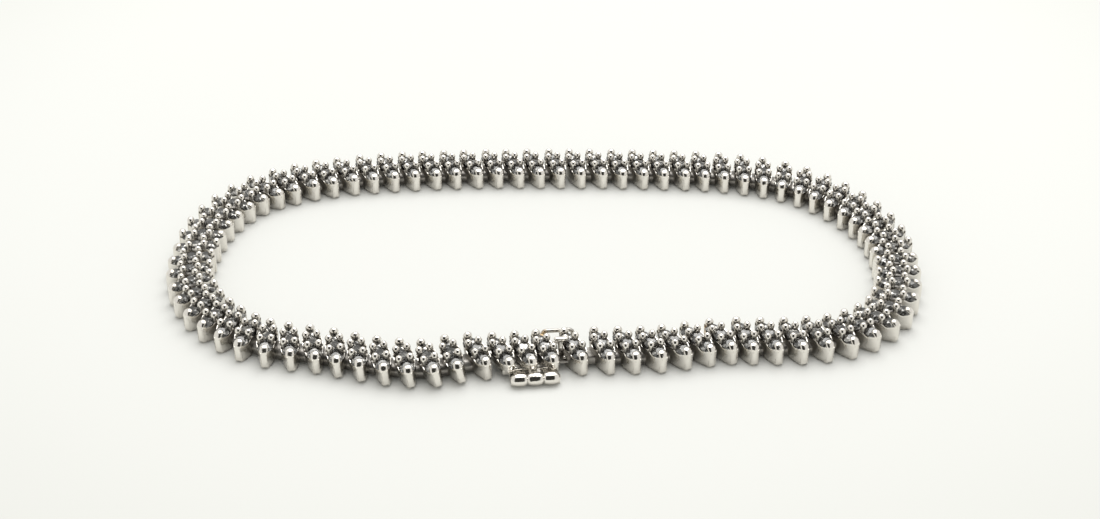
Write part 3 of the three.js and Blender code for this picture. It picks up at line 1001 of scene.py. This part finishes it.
# The lug and the tongue are painted dark, as painted shade between and under the settings.
tongue_shells = [
    moved(as_shell(casting("end_setting", 0.0, TOP_SLOPE)), lead_at(END_AT)),
    plate(lug_outline, LUG_BOTTOM, LUG_TOP, 0.15 * MM, 1.0),
    plate(tongue_outline, TONGUE_BOTTOM, TONGUE_TOP, 0.03 * MM, 0.9),
    moved(thumb_tab(), Matrix.Translation((TAB_AT, TAB_INWARDS, 0))),
    ball(STUD_RADIUS, (STUD_AT, CATCH_Y, STUD_HEIGHT)),
    ball(SMALL_BALL_RADIUS, SMALL_BALL_PLACE),
    plate(arm_outline, STUD_HEIGHT - ARM_HALF_THICKNESS, STUD_HEIGHT + ARM_HALF_THICKNESS),
]
tongue_mesh = joined_mesh("clasp_tongue", [moved(shell, clasp_place) for shell in tongue_shells])
tongue = shown_piece("clasp_tongue_dressed", tongue_mesh, cast_gold)
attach(tongue, "bracelet")
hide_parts("clasp_tongue")

end_stones = cut_stones("clasp_tongue_stones", [moved(short_stones, clasp_place @ lead_at(END_AT))])
tongue_stones = shown_piece("clasp_tongue_stones", end_stones, cut_diamond)
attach(tongue_stones, "bracelet")

# Safety guard
# Rolled plate that folds under the box on a three-knuckle barrel. The two outer knuckles and the
# riveted pin belong to it, and its inner edge is turned up to snap over the box.

GUARD_THICKNESS = 0.34 * MM
GUARD_HALF_LENGTH = 2.25 * MM
GUARD_HALF_WIDTH = 2.0 * MM
GUARD_Y = -0.1 * MM
GUARD_EASE = 0.08 * MM
OUTER_KNUCKLE_FROM = 0.78 * MM
PIN_RADIUS = 0.2 * MM
PIN_HALF_LENGTH = 2.0 * MM

# The two ears that join the plate to the outer knuckles
EAR_OUT = 1.53 * MM
EAR_Y = -2.5 * MM
EAR_HALF_LENGTH = 0.72 * MM
EAR_HALF_WIDTH = 0.5 * MM

# The tail on the inner edge, with the snap lip turned up along it
TAIL_X = -0.6 * MM
TAIL_Y = 1.95 * MM
TAIL_HALF_LENGTH = 1.0 * MM
TAIL_HALF_WIDTH = 0.3 * MM
LIP_Y = 2.13 * MM
LIP_HALF_THICKNESS = 0.11 * MM
LIP_RISE = 0.34 * MM

polished_gold = white_gold("polished_white_gold", 0.08, 0.9, 0.12)
guard_outline = rectangle(GUARD_HALF_LENGTH, GUARD_HALF_WIDTH, BARREL_X, GUARD_Y)
ear_outlines = [
    rectangle(EAR_HALF_LENGTH, EAR_HALF_WIDTH, BARREL_X + side * EAR_OUT, EAR_Y) for side in (-1, 1)
]
tail_outline = rectangle(TAIL_HALF_LENGTH, TAIL_HALF_WIDTH, TAIL_X, TAIL_Y)
lip_outline = rectangle(TAIL_HALF_LENGTH, LIP_HALF_THICKNESS, TAIL_X, LIP_Y)
guard_shells = [
    knuckle(BARREL_X - GUARD_HALF_LENGTH, BARREL_X - OUTER_KNUCKLE_FROM, KNUCKLE_RADIUS, 0.6, 0.86),
    knuckle(BARREL_X + OUTER_KNUCKLE_FROM, BARREL_X + GUARD_HALF_LENGTH, KNUCKLE_RADIUS, 0.86, 0.5),
    knuckle(BARREL_X - PIN_HALF_LENGTH, BARREL_X + PIN_HALF_LENGTH, PIN_RADIUS, 1, 1),
    plate(guard_outline, 0.0, GUARD_THICKNESS, GUARD_EASE),
    plate(ear_outlines[0], 0.0, GUARD_THICKNESS, GUARD_EASE),
    plate(ear_outlines[1], 0.0, GUARD_THICKNESS, GUARD_EASE),
    plate(tail_outline, 0.0, GUARD_THICKNESS),
    plate(lip_outline, 0.0, GUARD_THICKNESS + LIP_RISE, 0.04 * MM),
]
guard_mesh = joined_mesh("safety_guard", [moved(shell, clasp_place) for shell in guard_shells], 35)
guard = shown_piece("safety_guard_dressed", guard_mesh, polished_gold)
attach(guard, "guard")
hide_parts("safety_guard")

# Wire safety
# Hard-drawn white-gold wire bent to a figure eight. One end turns in the tube on the box, the other
# snaps over the ball stud of the tongue end, and the plating is worn yellow at the hinge.

CATCH_END = 4.5 * MM
CATCH_RISE = 0.71 * MM
WIRE_RADIUS = 0.195 * MM
WIRE_SIDES = 10


def wire_corners():
    """Centre line of the eight: places along the clasp, and heights as shares of the loop's rise."""
    waist = (CATCH_X + CATCH_END) / 2
    upper = [
        (CATCH_END, 0),
        (CATCH_END, 0.5),
        (CATCH_END - 0.05 * MM, 0.78),
        (CATCH_END - 0.2 * MM, 0.96),
        (CATCH_END - 0.4 * MM, 1),
        (waist, 0.98),
        (CATCH_X + 0.3 * MM, 1),
        (CATCH_X + 0.12 * MM, 0.94),
        (CATCH_X + 0.02 * MM, 0.8),
        (CATCH_X, 0.6),
    ]
    lower = [(x, -share * (0.8 if x == waist else 1)) for x, share in upper[:0:-1]]
    return upper + lower


def wire_loop():
    """Closed ring of round wire, with painted shade where it faces out of the loop and into it."""
    corners = wire_corners()
    rings = []
    for i, (x, share) in enumerate(corners):
        before = corners[i - 1]
        after = corners[(i + 1) % len(corners)]
        outward = Vector(((after[1] - before[1]) * CATCH_RISE, before[0] - after[0])).normalized()
        z = STUD_HEIGHT + share * CATCH_RISE
        ring_points = []
        for turn in circle(WIRE_SIDES):
            reach = WIRE_RADIUS * math.cos(turn)
            y = CATCH_Y - WIRE_RADIUS * math.sin(turn)
            ring_points.append((x + reach * outward.x, y, z + reach * outward.y))
        rings.append(ring_points)
    points, faces = lofted(rings)
    faces = faces[:-2]
    last = len(points) - WIRE_SIDES
    for k in range(WIRE_SIDES):
        after = (k + 1) % WIRE_SIDES
        faces.append((last + k, last + after, after, k))
    # Painted shade on the sides that face out of the loop and into it
    shade = [0.75 if abs(math.cos(turn)) > 0.6 else 0.0 for turn in circle(WIRE_SIDES)]
    return points, faces, shade * len(rings)


wire_mesh = joined_mesh("safety_wire", [moved(wire_loop(), clasp_place)])
wire = shown_piece("safety_wire_dressed", wire_mesh, polished_gold)
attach(wire, "catch")
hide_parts("safety_wire")

# Table, light and camera
# A white card table in a light tent, a large soft light overhead and the dark camera side that the
# polished metal mirrors.

# The camera looks at the middle of the loop from this far, this many radians above the table. Its
# focal length is in pixels of the photo, which is this wide
LOOK_ELEVATION = 0.552
LOOK_DISTANCE = 189.1 * MM
FOCAL_PIXELS = 1885
PHOTO_WIDTH = 1100

# The table, lit fully within the first radius round the lit place and dimmed beyond the second
TABLE_HALF = 1200 * MM
LIT_PLACE = Vector((0, 30, 0)) * MM
LIT_RADIUS = 50 * MM
DIM_RADIUS = 130 * MM

# The dark card behind the camera, and the round light overhead
DARK_CARD_HALF_WIDTH = 130 * MM
DARK_CARD_HALF_HEIGHT = 182 * MM
DARK_CARD_BEHIND = 30 * MM
LIGHT_PLACE = Vector((50, 200, 500)) * MM
LIGHT_SIZE = 600 * MM
LIGHT_WATTS = 2.6


def flat_card(name, half_x, half_y, material):
    """One flat face that looks up from the table's height."""
    mesh = bpy.data.meshes.new(name)
    mesh.from_pydata([(x, y, 0) for x, y in rectangle(half_x, half_y)], [], [(0, 1, 2, 3)])
    return shown_piece(name, mesh, material)


def white_card():
    """Matt white card, a little darker away from the light."""
    material, graph = new_material("white_card")
    where = place_on_piece(graph)
    offset = graph.add("ShaderNodeVectorMath", {"operation": "DISTANCE"}, {0: where, 1: LIT_PLACE})
    fading = Wire(graph, offset.outputs["Value"]).between(LIT_RADIUS, DIM_RADIUS)
    tone = mixed(graph, fading, (0.665, 0.67, 0.645, 1), (0.56, 0.565, 0.53, 1))
    surface = graph.add(
        "ShaderNodeBsdfPrincipled", None, {"Base Color": tone, "Roughness": 0.9, "Specular IOR Level": 0.0}
    )
    graph.add("ShaderNodeOutputMaterial", None, {"Surface": surface.outputs["BSDF"]})
    return material


def dark_cloth():
    """Almost black cloth, which the metal mirrors."""
    material, graph = new_material("dark_cloth")
    surface = graph.add("ShaderNodeBsdfDiffuse", None, {"Color": (0.045, 0.044, 0.042, 1)})
    graph.add("ShaderNodeOutputMaterial", None, {"Surface": surface.outputs["BSDF"]})
    return material


look_at = -PLAN_CENTRE
back = Vector((0, -math.cos(LOOK_ELEVATION), math.sin(LOOK_ELEVATION)))
camera_tilt = math.pi / 2 - LOOK_ELEVATION

table = flat_card("table", TABLE_HALF, TABLE_HALF, white_card())
dark_card = flat_card("camera_side", DARK_CARD_HALF_WIDTH, DARK_CARD_HALF_HEIGHT, dark_cloth())
dark_card.matrix_world = Matrix.Translation(
    look_at + back * (LOOK_DISTANCE + DARK_CARD_BEHIND)
) @ Matrix.Rotation(camera_tilt, 4, "X")
dark_card.visible_camera = False
dark_card.visible_shadow = False
dark_card.visible_diffuse = False

light_data = bpy.data.lights.new("overhead_light", "AREA")
light_data.shape = "DISK"
light_data.size = LIGHT_SIZE
light_data.energy = LIGHT_WATTS
light = bpy.data.objects.new("overhead_light", light_data)
bpy.context.scene.collection.objects.link(light)
light.location = LIGHT_PLACE
light.rotation_mode = "QUATERNION"
light.rotation_quaternion = LIGHT_PLACE.to_track_quat("Z", "Y")

world = bpy.data.worlds.new("light_tent")
world.use_nodes = True
background = world.node_tree.nodes["Background"]
background.inputs["Color"].default_value = (1.0, 0.99, 0.965, 1)
background.inputs["Strength"].default_value = 0.84
bpy.context.scene.world = world

camera_data = bpy.data.cameras.new("camera")
camera_data.sensor_width = 36
camera_data.lens = FOCAL_PIXELS / PHOTO_WIDTH * camera_data.sensor_width
camera_data.clip_start = 0.01
camera_data.clip_end = 10
camera = bpy.data.objects.new("camera", camera_data)
bpy.context.scene.collection.objects.link(camera)
camera.location = look_at + back * LOOK_DISTANCE
camera.rotation_euler = (camera_tilt, 0, 0)
bpy.context.scene.camera = camera
bpy.context.scene.view_settings.view_transform = "Standard"

for source in (setting_source, stones_source):
    bpy.data.objects.remove(source)
